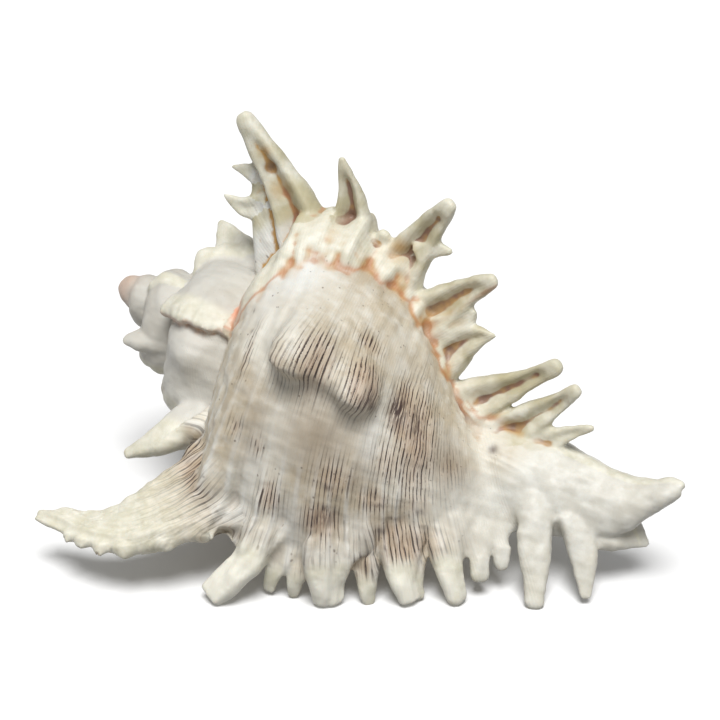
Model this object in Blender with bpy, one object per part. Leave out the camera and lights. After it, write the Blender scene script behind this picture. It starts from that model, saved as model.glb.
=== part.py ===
"""A branched murex shell at rest on its spines, modelled as one solid.

The shell is described in its own coil frame: the height h runs along the coiling axis from the
apex to the tip of the siphonal canal, r is the distance from that axis, and phi is the angle
about it (0 is level on the front side, 90 is straight up).  Growth runs towards smaller phi and
is counted in degrees behind the lip, so the lip is at 0 and one whorl earlier is at -360.
Lengths in the tables below are millimetres; the mesh is scaled to metres where it is made.
"""
import math

import bmesh
import bpy
import numpy as np
from mathutils import Matrix, Vector

# ---- Driving dimensions -------------------------------------------------------------------
MM = 0.001
APEX_HEIGHT = 63.0          # apex above the surface that the spines stand on
AXIS_PITCH = 17.3           # degrees that the coiling axis dips towards the canal
LIP_ANGLE = -28.0           # phi of the outer lip
WHORL_EXPANSION = 1.82      # growth of the coil in one turn
HIDDEN_TIP = 4.0            # the coil's true centre lies this far past the worn apex
FIRST_GROWTH = -1500.0      # where the coil starts, in degrees behind the lip

# Outline of the last whorl where it meets the lip, (h, r), from the suture to the neck.
WHORL_OUTLINE = [(51, 24), (53, 33), (57, 41), (63, 47), (71, 51), (80, 52.5), (90, 52),
                 (100, 49), (110, 43), (120, 35.5), (130, 26.5), (138, 19), (146, 13)]
CORE_RADIUS = 1.5           # the whorl section is closed along the axis at this radius

# Varices: growth angle, height, and degrees that it runs forward as it climbs to the suture.
VARICES = [(0, 5.5, 25), (-128, 11.0, 45), (-248, 8.0, 40), (-360, 6.0, 25), (-436, 9.0, 8),
           (-512, 12.0, 15), (-610, 6.0, 25), (-715, 9.0, 20), (-820, 7.0, 20), (-930, 7.0, 20)]
VARIX_RISE = 16.0           # degrees of growth over which a varix swells
VARIX_DROP = 2.4            # degrees over which it falls away in front

# Knobs between the varices: growth angle, place on the outline (h at the lip), half length
# along the axis, half width in degrees behind and in front of the crest, and height.
KNOBS = [(-63, 85, 10, 10, 5.5, 10.0), (-62, 104, 7.5, 12, 7, 7.0), (-54, 122, 6, 10, 7, 2.0),
         (-188, 80, 12, 12, 8, 8.0), (-184, 102, 9, 12, 8, 5.0), (-300, 78, 12, 12, 8, 7.0),
         (-400, 74, 12, 14, 10, 5.0), (-560, 70, 12, 16, 12, 5.0)]

# Mouth: section of the hollow where it meets the lip, (h, r), outer side then columella side.
MOUTH_OUTLINE = [(58, 31), (61, 38.5), (67, 44), (77, 47.5), (88, 48), (100, 44.5), (110, 38),
                 (119, 30), (127, 20), (131, 13), (127, 9.5), (116, 10.5), (104, 12),
                 (92, 13.5), (80, 16), (71, 20), (62, 26)]
MOUTH_DEPTH = -235.0        # growth angle where the hollow ends

# Siphonal canal: h, rise of its centre, half breadth, half depth.
CANAL = [(98, 0, 8, 8), (108, -1, 11, 11), (119, -2, 16, 14.5), (129, -1, 18, 14.5),
         (138, 1.5, 17, 12.5), (148, 3.5, 15.5, 10.5),
         (157, 5, 14, 9), (165, 8, 12, 8), (171, 13, 9.5, 6.5), (175.5, 18, 7.5, 5.5),
         (179, 22, 5, 4), (181.5, 24.5, 2.6, 2.4)]
SLIT_WIDTH = 3.2            # the canal opens along its underside through this slit
SLIT_ANGLE = -118.0         # phi of the side where the slit opens
COLUMELLA = [(46, 9), (70, 9.5), (90, 10.5), (108, 12), (122, 14)]  # h and radius of the pillar
CANAL_RISE_ANGLE = 92.0     # phi of the direction in which the canal bends
CANAL_BREADTH_ANGLE = 120.0  # phi of its broad axis

# Spines: root, middle and tip as (h, r); half width at each; thickness over width; phi at root
# and at tip.  The first row stands on the lip, the second on the varix above it, the third on
# the hidden varix behind, and the last on the spire.
LIP_SPINES = [
    [(68, 42), (44, 68), (21, 78), (12, 6.5, 2.3), 0.55, -28, -34],
    [(76, 48), (58, 64), (41, 75), (7, 4.5, 2.4), 0.55, -30, -38],
    [(80, 46), (80, 62), (74, 72), (8.5, 5.6, 4.6), 0.7, -28, -34],
    [(100, 42), (104, 52), (107, 56), (7.5, 5.8, 4.4), 0.7, -28, -34],
    [(114, 32), (121, 41), (127, 45), (6, 4.8, 3.6), 0.75, -28, -34],
    [(126, 24), (132, 33), (138, 37), (5, 4.0, 3.0), 0.75, -28, -34],
    [(133, 20), (138, 26), (141, 30), (4.5, 3.5, 2.6), 0.8, -28, -32],
    [(137, 14), (142, 20), (145, 24), (4, 3, 2), 0.8, -28, -32],
    [(141, 3), (150, 16), (158, 29), (8, 4.3, 2.3), 0.75, -28, -34],
    [(156, -3), (163, 9), (170, 19), (7.5, 3.9, 1.6), 0.75, -28, -34],
    [(163, -8), (171, -5), (177.5, -3), (6.5, 3.6, 1.3), 0.75, -28, -34],
]
TOP_SPINES = [
    [(55, 26), (37, 50), (23.5, 67.5), (14, 7.4, 3.4), 0.7, 100, 94],
    [(65, 32), (61, 55), (54, 69.5), (8.5, 4.1, 1.3), 0.8, 100, 94],
    [(78, 36), (84, 58), (88.5, 71), (7.5, 4.2, 2.4), 0.8, 100, 94],
    [(89, 30), (100, 46), (108, 56), (6, 4.2, 1.8), 0.75, 100, 94],
    [(100, 23), (108, 35), (114.5, 41), (7, 3.2, 0.9), 0.8, 100, 94],
    [(113, 17), (125, 29), (134, 40.5), (5, 3.3, 2.5), 0.8, 100, 94],
    [(125, 11), (136, 26), (142, 36.5), (5, 3.3, 1.9), 0.8, 100, 94],
    [(135, 12), (143, 21), (150.5, 28.5), (4.4, 2.5, 0.9), 0.8, 100, 94],
]
BACK_SPINES = [
    [(43, 22), (27, 45), (12, 66.5), (10, 4.8, 2.3), 0.8, 220, 216],
    [(54, 27), (50, 50), (46, 73), (7.5, 3.8, 1.8), 0.8, 220, 216],
    [(65, 30), (67, 50), (68, 72), (7, 3.8, 2.4), 0.8, 220, 218],
    [(77, 25), (82, 44), (87, 61), (6, 3.6, 2.2), 0.8, 220, 218],
    [(92, 17), (99, 36), (104, 52), (5.5, 3.2, 2.0), 0.8, 220, 218],
    [(108, 12), (116, 26), (122, 38), (5, 3.0, 1.5), 0.8, 220, 217],
    [(124, 10), (132, 20), (138, 28), (4.8, 2.8, 1.2), 0.8, 220, 215],
    [(140, 9), (148, 16), (154, 22), (4.4, 2.6, 1.0), 0.8, 218, 210],
]
SPIRE_SPINES = [
    [(50, 24), (43, 38), (33, 48), (7.5, 4.2, 1.7), 0.85, -24, -32],
    [(34, 14), (26, 25), (17, 31), (8, 4.4, 1.1), 0.8, 128, 134],
    [(40, 15), (33, 27), (24, 36), (6, 3.4, 1.2), 0.85, 222, 218],
    [(24, 6), (17, 13), (12, 16), (5, 3.0, 1.2), 0.8, -24, -28],
    [(27, 14), (17, 18), (9, 17), (5, 3.0, 1.3), 0.7, 48, 50],
]
# Side fronds of the spines, in the same form.
FRONDS = [
    [(36, 46), (28, 42), (21.5, 41.5), (4.2, 2.6, 0.9), 0.8, 98, 98],
    [(29, 52), (25, 52), (21.5, 51), (2.4, 1.6, 0.7), 0.8, 97, 97],
    [(57, 38), (57, 45), (56, 49.5), (4.5, 3.0, 1.8), 0.8, 100, 96],
    [(84, 52), (89, 56), (93, 57.5), (3, 2.2, 1.2), 0.8, 98, 96],
    [(71, 40), (72, 48), (73, 53), (5, 3.6, 2.2), 0.8, 100, 96],
    [(96, 30), (104, 41), (106, 44), (4, 2.6, 1.0), 0.8, 99, 96],
    [(91, 52), (90, 58), (90, 62), (4.5, 3.2, 2.0), 0.7, -32, -37],
    [(96, 50), (96, 56), (97, 60), (4, 3.0, 1.8), 0.7, -33, -38],
    [(108, 42), (113, 48), (117, 52), (4, 3.0, 1.8), 0.7, -33, -38],
    [(120, 34), (125, 40), (129, 43), (4, 2.8, 1.6), 0.7, -33, -38],
]

# ---- Mesh quality --------------------------------------------------------------------------
RING_STEP = 4.0             # degrees of growth between two rings of the coil
VOXEL = 1.3 * MM            # grid that fuses the whorls, canal and spines into one skin
SMOOTH_STEPS = 4
FACES_KEPT = 10500          # triangles of the finished solid
WORN_DEPTH = 1.8            # spine tips that touch the surface are worn flat by this much
LEVEL_SLACK = 0.06          # corners this near the worn level belong to a flat

AXIS = Vector((math.cos(math.radians(AXIS_PITCH)), 0.0, -math.sin(math.radians(AXIS_PITCH))))
RISE = Vector((math.sin(math.radians(AXIS_PITCH)), 0.0, math.cos(math.radians(AXIS_PITCH))))
FRONT = Vector((0.0, -1.0, 0.0))


def radial(phi):
    """Unit vector away from the axis at the angle phi."""
    return FRONT * math.cos(math.radians(phi)) + RISE * math.sin(math.radians(phi))


def place(h, r, phi):
    """Point in space, in millimetres, for a place in the coil frame."""
    return Vector((0.0, 0.0, APEX_HEIGHT)) + AXIS * h + radial(phi) * r


def smooth_line(points, count):
    """Evenly spread values on the smooth (Catmull-Rom) line through the given rows."""
    rows = np.array(points, float)
    ends = np.vstack([2 * rows[0] - rows[1], rows, 2 * rows[-1] - rows[-2]])
    made = []
    for t in np.linspace(0, len(rows) - 1, count):
        i = min(int(t), len(rows) - 2)
        f = t - i
        a, b, c, d = ends[i:i + 4]
        made.append(0.5 * (2 * b + (c - a) * f + (2 * a - 5 * b + 4 * c - d) * f * f
                           + (3 * b - a - 3 * c + d) * f ** 3))
    return np.array(made)


def tube_mesh(rings):
    """Vertices and faces of a closed tube through equal rings of points."""
    size = len(rings[0])
    verts = [p for ring in rings for p in ring]
    faces = []
    for k in range(len(rings) - 1):
        for j in range(size):
            n = (j + 1) % size
            faces.append((k * size + j, k * size + n, (k + 1) * size + n, (k + 1) * size + j))
    faces.append(tuple(reversed(range(size))))
    faces.append(tuple((len(rings) - 1) * size + j for j in range(size)))
    return verts, faces


def coil_scale(growth):
    """Size of the coil's section at a growth angle, against its size at the lip."""
    return WHORL_EXPANSION ** (growth / 360.0)


def bell(x, width):
    return math.exp(-(x / width) ** 2)


def body_swell(growth):
    """The last whorl is a little fuller behind the second varix than the spiral alone gives."""
    return 1.0 + 0.07 * bell(growth + 150.0, 60.0)


def varix_lift(growth, h):
    """Outward lift of the varices, strongest at the shoulder; h is the height at the lip."""
    ramp = min(max((66.0 - h) / 14.0, 0.0), 1.0)
    strength = 1.0 - 0.6 * min(max((h - 76.0) / 40.0, 0.0), 1.0)
    lift = 0.0
    for at, height, sweep in VARICES:
        x = growth - at - sweep * ramp
        lift += height * (bell(x, VARIX_RISE) if x < 0 else bell(x, VARIX_DROP))
    return lift * strength


def knob_lift(growth, h):
    """Outward lift of the knobs; h is the height on the outline at the lip."""
    lift = 0.0
    for at, middle, half, behind, ahead, height in KNOBS:
        x = growth - at
        lift += height * bell(h - middle, half) * bell(x, behind if x < 0 else ahead)
    return lift


def whorl_ring(growth, outline):
    """One closed section of the coil, in millimetres."""
    scale = coil_scale(growth)
    swell = body_swell(growth)
    phi = LIP_ANGLE - growth
    tangents = np.gradient(outline, axis=0)
    ring = []
    for (h, r), (dh, dr) in zip(outline, tangents):
        fade = min(max((146.0 - h) / 30.0, 0.0), 1.0) * min(max((h - 50.0) / 6.0, 0.0), 1.0)
        out = (varix_lift(growth, h) + knob_lift(growth, h)) * fade
        length = math.hypot(dh, dr)
        h_out = h - out * dr / length
        r_out = r + out * dh / length
        ring.append(place(scale * (h_out + HIDDEN_TIP) - HIDDEN_TIP, scale * swell * r_out, phi))
    for h in np.linspace(outline[-1][0], outline[0][0], 8):
        ring.append(place(scale * (h + HIDDEN_TIP) - HIDDEN_TIP, scale * CORE_RADIUS, phi))
    return ring


def coil():
    """The whorls, from the apex to the lip."""
    outline = smooth_line(WHORL_OUTLINE, 40)
    steps = int(-FIRST_GROWTH / RING_STEP)
    return tube_mesh([whorl_ring(FIRST_GROWTH * (1 - k / steps), outline)
                      for k in range(steps + 1)])


def mouth():
    """The hollow of the last whorl, from just past the lip to its inner end."""
    outline = smooth_line(MOUTH_OUTLINE + MOUTH_OUTLINE[:1], 49)[:-1]
    middle = outline.mean(axis=0)
    rings = []
    for growth in np.arange(12.0, MOUTH_DEPTH - 1, -6.0):
        scale = coil_scale(growth)
        close = min(1.0, max(0.05, (growth - MOUTH_DEPTH) / 60.0)) ** 0.5
        section = middle + (outline - middle) * close
        rings.append([place(scale * (h + HIDDEN_TIP) - HIDDEN_TIP,
                            scale * body_swell(growth) * r, LIP_ANGLE - growth)
                      for h, r in section])
    return tube_mesh(rings)


def canal():
    """The siphonal canal, a flattened tapering tube that bends upwards."""
    broad = radial(CANAL_BREADTH_ANGLE)
    deep = radial(CANAL_BREADTH_ANGLE - 90.0)
    rings = []
    for h, rise, breadth, depth in smooth_line(CANAL, 26):
        middle = place(h, rise, CANAL_RISE_ANGLE)
        rings.append([middle + broad * breadth * math.cos(a) + deep * depth * math.sin(a)
                      for a in np.linspace(0, 2 * math.pi, 24, endpoint=False)])
    return tube_mesh(rings)


def columella():
    """The rounded pillar on the axis that forms the inner side of the mouth."""
    return tube_mesh([[place(h, radius, a) for a in range(0, 360, 15)]
                      for h, radius in smooth_line(COLUMELLA, 16)])


def slit():
    """The narrow cut along the underside of the canal, from the mouth to the tip."""
    across = radial(SLIT_ANGLE - 90.0)
    down = radial(SLIT_ANGLE)
    rings = []
    for h, rise, breadth, depth in smooth_line(CANAL, 26)[3:]:
        middle = place(h, rise, CANAL_RISE_ANGLE)
        half = SLIT_WIDTH / 2 * min(1.0, breadth / 6.0)
        rings.append([middle + across * half * x + down * y
                      for x, y in ((-1, -1.0), (1, -1.0), (1, 40.0), (-1, 40.0))])
    return tube_mesh(rings)


def spine(root, middle, tip, widths, thickness, phi_root, phi_tip):
    """A tapering bent spine whose broad side faces along the axis."""
    knots = [place(*root, phi_root), place(*middle, (phi_root + phi_tip) / 2), place(*tip, phi_tip)]
    path = smooth_line([tuple(p) for p in knots], 12)
    sizes = smooth_line([(w, 0) for w in widths], 12)[:, 0]
    ahead = np.gradient(path, axis=0)
    rings = []
    for point, direction, size in zip(path, ahead, sizes):
        along = Vector(direction).normalized()
        broad = along.cross(-radial(phi_root + 90.0)).normalized()
        deep = broad.cross(along).normalized() * thickness
        rings.append([Vector(point) + (broad * math.cos(a) + deep * math.sin(a)) * size
                      for a in np.linspace(0, 2 * math.pi, 12, endpoint=False)])
    end = Vector(path[-1])
    ahead_of_end = Vector(ahead[-1]).normalized() * sizes[-1] * 0.6
    rings.append([end + (p - end) * 0.55 + ahead_of_end for p in rings[-1]])
    return tube_mesh(rings)


def mesh_object(name, pieces):
    """One object that holds several closed meshes given in millimetres."""
    verts, faces = [], []
    for piece_verts, piece_faces in pieces:
        start = len(verts)
        verts += [p * MM for p in piece_verts]
        faces += [tuple(start + i for i in face) for face in piece_faces]
    mesh = bpy.data.meshes.new(name)
    mesh.from_pydata([tuple(v) for v in verts], [], faces)
    made = bmesh.new()
    made.from_mesh(mesh)
    bmesh.ops.recalc_face_normals(made, faces=made.faces)
    made.to_mesh(mesh)
    made.free()
    obj = bpy.data.objects.new(name, mesh)
    bpy.context.scene.collection.objects.link(obj)
    return obj


def bake_modifiers(obj):
    """Replaces the object's mesh by what its modifiers make of it."""
    graph = bpy.context.evaluated_depsgraph_get()
    mesh = bpy.data.meshes.new_from_object(obj.evaluated_get(graph))
    obj.modifiers.clear()
    obj.data = mesh


def cut_away(obj, pieces):
    """Takes closed meshes out of the object, one after the other."""
    for piece in pieces:
        cutter = mesh_object("cutter", [piece])
        cut = obj.modifiers.new("cut", "BOOLEAN")
        cut.operation = "DIFFERENCE"
        cut.object = cutter
        bake_modifiers(obj)
        bpy.data.objects.remove(cutter)


def keep_outer_skin(obj):
    """Drops every loose skin but the largest, so that no pocket is left inside the wall."""
    made = bmesh.new()
    made.from_mesh(obj.data)
    waiting = set(made.verts)
    skins = []
    while waiting:
        skin = {waiting.pop()}
        edge = list(skin)
        while edge:
            near = {e.other_vert(v) for v in edge for e in v.link_edges}
            edge = list(near - skin)
            skin |= near
        waiting -= skin
        skins.append(skin)
    skins.sort(key=len)
    for skin in skins[:-1]:
        bmesh.ops.delete(made, geom=list(skin), context="VERTS")
    made.to_mesh(obj.data)
    made.free()


def shell_material():
    material = bpy.data.materials.new("chalky_shell")
    material.use_nodes = True
    surface = material.node_tree.nodes["Principled BSDF"]
    surface.inputs["Base Color"].default_value = (0.78, 0.72, 0.62, 1.0)
    surface.inputs["Roughness"].default_value = 0.55
    surface.inputs["Metallic"].default_value = 0.0
    return material


def lowest(obj):
    return min(v.co.z for v in obj.data.vertices)


def slab_below(height):
    """A wide block, in millimetres, whose level top is at the given height."""
    corners = [Vector((x, y, z)) for z in (height - 60.0, height)
               for x, y in ((-150, -150), (350, -150), (350, 150), (-150, 150))]
    return corners, [(3, 2, 1, 0), (4, 5, 6, 7), (0, 1, 5, 4), (1, 2, 6, 5), (2, 3, 7, 6), (3, 0, 4, 7)]


def level_standing_tips(obj, height):
    """Puts the corners of the worn flats exactly on one level."""
    for vertex in obj.data.vertices:
        if vertex.co.z < height + LEVEL_SLACK * MM:
            vertex.co.z = height


def centre_on_base(obj):
    """Moves the mesh so that the middle of its bounding box's bottom is the origin."""
    corners = np.array([v.co for v in obj.data.vertices])
    low, high = corners.min(axis=0), corners.max(axis=0)
    obj.data.transform(Matrix.Translation((-(low[0] + high[0]) / 2, -(low[1] + high[1]) / 2, -low[2])))


def main():
    for old in list(bpy.data.objects):
        bpy.data.objects.remove(old)
    rows = LIP_SPINES + TOP_SPINES + BACK_SPINES + SPIRE_SPINES + FRONDS
    shell = mesh_object("shell", [coil(), canal(), columella()] + [spine(*row) for row in rows])
    fuse = shell.modifiers.new("fuse", "REMESH")
    fuse.mode = "VOXEL"
    fuse.voxel_size = VOXEL
    soften = shell.modifiers.new("soften", "SMOOTH")
    soften.factor = 0.5
    soften.iterations = SMOOTH_STEPS
    bake_modifiers(shell)
    floor = lowest(shell) + WORN_DEPTH * MM
    cut_away(shell, [mouth(), slit(), slab_below(floor / MM)])
    keep_outer_skin(shell)
    spare = shell.modifiers.new("fewer_faces", "DECIMATE")
    triangles = sum(len(p.vertices) - 2 for p in shell.data.polygons)
    spare.ratio = FACES_KEPT / triangles
    spare.use_collapse_triangulate = True
    bake_modifiers(shell)
    level_standing_tips(shell, floor)
    centre_on_base(shell)
    shell.data.materials.clear()
    shell.data.materials.append(shell_material())
    shell.data.shade_smooth()


main()
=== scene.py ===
# %% [markdown]
# # A branched murex shell
#
# A murex grows as one tube that coils to the right and widens as it goes.  Three times in each
# turn it stops, thickens its lip into a rib and throws out a row of spines: such a rib is a varix.
# This script makes the shell the way it grew, from its coil, and then colours it by the same two
# measures, how far along the coil a place is and how far across it.

# %% Load the frame
import math

import bmesh
import bpy
import numpy as np
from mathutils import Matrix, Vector


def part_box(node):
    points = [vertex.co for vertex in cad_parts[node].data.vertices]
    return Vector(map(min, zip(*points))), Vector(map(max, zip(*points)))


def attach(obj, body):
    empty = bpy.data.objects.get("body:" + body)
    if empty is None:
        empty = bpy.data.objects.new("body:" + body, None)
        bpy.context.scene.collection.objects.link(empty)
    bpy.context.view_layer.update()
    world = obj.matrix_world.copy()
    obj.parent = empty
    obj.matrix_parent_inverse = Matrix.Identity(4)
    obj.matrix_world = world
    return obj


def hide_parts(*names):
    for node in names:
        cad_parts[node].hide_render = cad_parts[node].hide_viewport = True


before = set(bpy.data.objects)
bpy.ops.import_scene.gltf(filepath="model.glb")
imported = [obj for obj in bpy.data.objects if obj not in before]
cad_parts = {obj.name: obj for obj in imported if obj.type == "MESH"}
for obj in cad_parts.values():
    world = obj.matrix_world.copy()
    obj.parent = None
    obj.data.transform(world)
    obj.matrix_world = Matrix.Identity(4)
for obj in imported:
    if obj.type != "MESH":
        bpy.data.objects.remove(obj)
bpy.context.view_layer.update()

low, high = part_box("shell")
print("shell box in mm:", [round(1000 * (b - a), 1) for a, b in zip(low, high)])

# %% [markdown]
# ## The coil frame
#
# Every measure below is in millimetres.  A place on the shell is (h, r, phi): h runs along the
# coiling axis from the apex to the canal, r is the distance from the axis and phi the angle about
# it, 0 on the front side and 90 straight up.  Growth is counted in degrees behind the lip, so one
# whorl earlier is -360.  The apex is found from the frame's box, and the axis dips to the canal.

# %% Coil frame
APEX = 1000 * np.array(low) + np.array([1.4, 66.3, 64.1])
PITCH = math.radians(17.3)
AXIS = np.array([math.cos(PITCH), 0.0, -math.sin(PITCH)])
RISE = np.array([math.sin(PITCH), 0.0, math.cos(PITCH)])
FRONT = np.array([0.0, -1.0, 0.0])
LIP = -28.0          # phi of the outer lip
EXPANSION = 1.82     # growth of the coil in one turn
HIDDEN = 4.0         # the true centre of the coil lies this far past the worn apex


# %% Places in the coil frame
def radial(phi):
    """Unit vectors away from the axis at the angles phi."""
    a = np.radians(phi)[..., None]
    return np.cos(a) * FRONT + np.sin(a) * RISE


def place(h, r, phi):
    """Points in space for places in the coil frame."""
    h, r, phi = np.broadcast_arrays(h, r, phi)
    return APEX + h[..., None] * AXIS + r[..., None] * radial(np.asarray(phi, float))


def coil_place(points):
    """The coil frame's h, r and phi of points in space."""
    d = points - APEX
    x, y = d @ FRONT, d @ RISE
    return d @ AXIS, np.hypot(x, y), np.degrees(np.arctan2(y, x))


print("apex of the coil in mm:", APEX.round(1))


# %% [markdown]
# Four soft shapes of numbers serve the whole script: a bump, a rise, a curve through given points
# and an even noise.  All are numpy sums, worked out for every place on the shell at once.

# %% Soft shapes
def bell(x, width):
    """1 at 0, and about a third where x is the width."""
    return np.exp(-(x / width) ** 2)


def smooth(x, low, high):
    """0 at low, 1 at high, and an even rise between."""
    t = np.clip((x - low) / (high - low), 0.0, 1.0)
    return t * t * (3 - 2 * t)


def smooth_line(points, count):
    """Evenly spread values on the smooth (Catmull-Rom) line through rows of values."""
    rows = np.array(points, float)
    ends = np.vstack([2 * rows[0] - rows[1], rows, 2 * rows[-1] - rows[-2]])
    t = np.linspace(0, len(rows) - 1, count)
    i = np.minimum(t.astype(int), len(rows) - 2)
    f = (t - i)[:, None]
    a, b, c, d = ends[i], ends[i + 1], ends[i + 2], ends[i + 3]
    return 0.5 * (2 * b + (c - a) * f + (2 * a - 5 * b + 4 * c - d) * f ** 2
                  + (3 * b - a - 3 * c + d) * f ** 3)


def waves(points, size, seed, count=12):
    """Soft, even noise between about -1 and 1 whose lumps are about size across."""
    draw = np.random.default_rng(seed)
    turn = draw.normal(size=(count, points.shape[1]))
    turn /= np.linalg.norm(turn, axis=1, keepdims=True)
    step = 2 * math.pi / (size * draw.uniform(1.2, 2.6, count))
    phase = draw.uniform(0, 2 * math.pi, count)
    return np.sin(points @ (turn * step[:, None]).T + phase).sum(axis=1) / math.sqrt(count)


# %% [markdown]
# ## The whorls
#
# One outline, drawn where the last whorl meets the lip, is enough for the whole spire: going back
# along the coil it only shrinks.  The varices, the knobs between them and the folds at the feet
# of the spines are lifts of that outline along its normal.  A varix rises slowly from behind and
# drops steeply in front, and where it climbs to the suture it runs forward.

# %% Whorl outline and lifts
OUTLINE = smooth_line([(51, 24), (53, 33), (57, 41), (63, 47), (71, 51), (80, 52.5), (90, 52),
                       (100, 49), (110, 43), (120, 35.5), (130, 26.5), (138, 19), (146, 13)], 150)
ACROSS = np.concatenate([[0], np.cumsum(np.linalg.norm(np.diff(OUTLINE, axis=0), axis=1))])
SLOPE = np.gradient(OUTLINE, axis=0)
SLOPE /= np.linalg.norm(SLOPE, axis=1, keepdims=True)
print("outline from suture to neck, mm:", round(float(ACROSS[-1]), 1))

# growth angle, height in mm, degrees that it runs forward at the suture, size of its folds, how
# far it leans forward, and the width of its wall
LIP_VARIX, TOP_VARIX, FRILL_VARIX = 0, -128, -430
VARICES = [(LIP_VARIX, 7.0, 25, 0.6, 0.0, 0.5), (TOP_VARIX, 11.0, 45, 1.0, 0.0, 1.0),
           (-248, 8.0, 40, 0.8, 0.3, 0.6), (-360, 3.5, 25, 0.4, 0.2, 0.6),
           (FRILL_VARIX, 9.0, 6, 0.5, 0.75, 0.5), (-512, 12.0, 15, 0.3, 0.2, 0.6),
           (-610, 7.0, 25, 0.4, 0.5, 0.6), (-700, 10.0, 10, 0.6, 0.6, 0.6),
           (-820, 6.0, 20, 0.3, 0.3, 0.6), (-930, 6.0, 20, 0.3, 0.3, 0.6)]
VARIX_RISE = 16.0    # degrees over which a varix rises from behind
LIP_FLARE = 9.0      # the same for the lip itself, which flares later
# where the spines of a varix stand on the outline, as h at the lip
STATIONS = [53, 67, 82, 98, 112, 125, 139, 152]
# how far in front of its crest the wall of a varix meets the next stretch of whorl, in degrees
WALL_FOOT = [(50, 16), (57, 21), (65, 27), (74, 24), (87, 18.5), (95, 14), (101, 10.5), (107, 12),
             (114, 10), (120, 10), (125, 13), (131, 14), (150, 13)]

# growth angle, h at the lip, half lengths towards the apex and the canal, half widths behind and
# in front in degrees, height, and how far it leans forward and towards the apex
KNOBS = [(-69, 85, 8, 9, 13, 7.2, 15.5, 0.42, 0.30), (-68, 102, 6, 6, 10, 8, 11, 0.5, 0.05),
         (-54, 122, 6, 6, 10, 7, 2, 0, 0), (-188, 80, 10, 12, 12, 8, 8, 0.3, 0.2),
         (-184, 102, 8, 9, 12, 8, 5, 0.2, 0.1), (-300, 78, 10, 12, 12, 8, 7, 0.3, 0.2),
         (-400, 74, 12, 12, 14, 10, 5, 0.1, 0), (-560, 70, 12, 12, 16, 12, 5, 0.1, 0)]
print("varices and knobs:", len(VARICES), len(KNOBS))


# %% Lifts of the outline
def coil_scale(growth):
    """Size of the whorl against its size at the lip."""
    return EXPANSION ** (growth / 360.0)


def body_swell(growth):
    """The last whorl is a little fuller half a turn behind the lip than the plain coil."""
    return 1.0 + 0.07 * bell(growth + 150.0, 60.0)


def station_phase(h):
    """An angle that is a whole number of turns at each spine of a varix."""
    return 2 * math.pi * np.interp(h, STATIONS, range(len(STATIONS)))


def varix_place(growth, h, at, sweep, folds, width):
    """Degrees in front of a varix's crest, and the share of its wall that this is."""
    ramp = np.clip((66.0 - h) / 14.0, 0.0, 1.0)
    phase = station_phase(h)
    x = growth - at - sweep * ramp
    foot = np.interp(h, *np.transpose(WALL_FOOT)) * width
    folds = folds * smooth(h, 58, 70)
    foot = foot + folds * (1.8 * np.cos(phase) + 1.3 * np.cos(1.7 * phase + 1.2)
                           + 0.6 * np.cos(3.3 * phase + 2))
    return x, x / np.maximum(foot, 3.0)


def varix_lift(growth, h):
    """Lift of the varices, and how far they lean forward, in mm."""
    strength = 1.0 - 0.6 * np.clip((h - 76.0) / 40.0, 0.0, 1.0)
    phase = station_phase(h)
    lift, forward = 0.0, 0.0
    for at, height, sweep, folds, lean, width in VARICES:
        x, share = varix_place(growth, h, at, sweep, folds, width)
        fold = 1.0 + folds * (0.16 * np.cos(phase) + 0.05 * np.cos(2.3 * phase + 0.7) - 0.05)
        wall = np.clip(1.0 - np.clip(share, 0.0, 1.0) ** 2.2, 0.0, 1.0)
        behind = bell(x, VARIX_RISE)
        if at == LIP_VARIX:    # wider where the long first spine grows out of it
            root = bell(h - 64.0, 9.0)
            behind = np.exp(np.minimum(x, 0.0) / (LIP_FLARE + 10.0 * root))
            fold = fold * (1 + root)
        if at == TOP_VARIX:
            fold = fold * (0.15 + 0.85 * smooth(h, 55, 69)) * (1 + 0.14 * np.cos(1.7 * phase + 4.0))
        if at == FRILL_VARIX:
            fold = fold * (1 + 0.10 * np.cos(9 * phase) + 0.08 * np.cos(5.3 * phase + 1))
        one = height * fold * strength * np.where(x < 0, behind, wall)
        lift, forward = lift + one, forward + lean * one
    return lift, forward


def knob_lift(growth, h):
    """Lift of the knobs, and how far they lean forward and towards the apex, in mm."""
    lift, forward, back = 0.0, 0.0, 0.0
    for at, middle, low_half, high_half, behind, ahead, height, lean, tilt in KNOBS:
        x, y = growth - at, h - middle
        side = np.where(y < 0, bell(y, low_half), bell(y, high_half))
        one = height * side * np.where(x < 0, bell(x, behind), bell(x, ahead))
        lift, forward, back = lift + one, forward + lean * one, back + tilt * one
    return lift, forward, back


# %% [markdown]
# The whorls could be a curve with a bevel, but a bevel keeps its shape and these sections grow
# and carry ribs.  So each section is worked out point by point and the sections are joined by
# quads.  Each is closed along the axis, so the stack of sections is one closed body.

# %% Coil body
def tube(rings):
    """Vertices and quads of a closed tube through rings of equal size, shape (rings, size, 3)."""
    count, size = rings.shape[:2]
    verts = rings.reshape(-1, 3)
    k, j = np.meshgrid(np.arange(count - 1), np.arange(size), indexing="ij")
    n = (j + 1) % size
    quads = np.stack([k * size + j, k * size + n, (k + 1) * size + n, (k + 1) * size + j], -1)
    faces = [tuple(q) for q in quads.reshape(-1, 4).tolist()]
    faces.append(tuple(range(size))[::-1])
    faces.append(tuple((count - 1) * size + i for i in range(size)))
    return verts, faces


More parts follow.
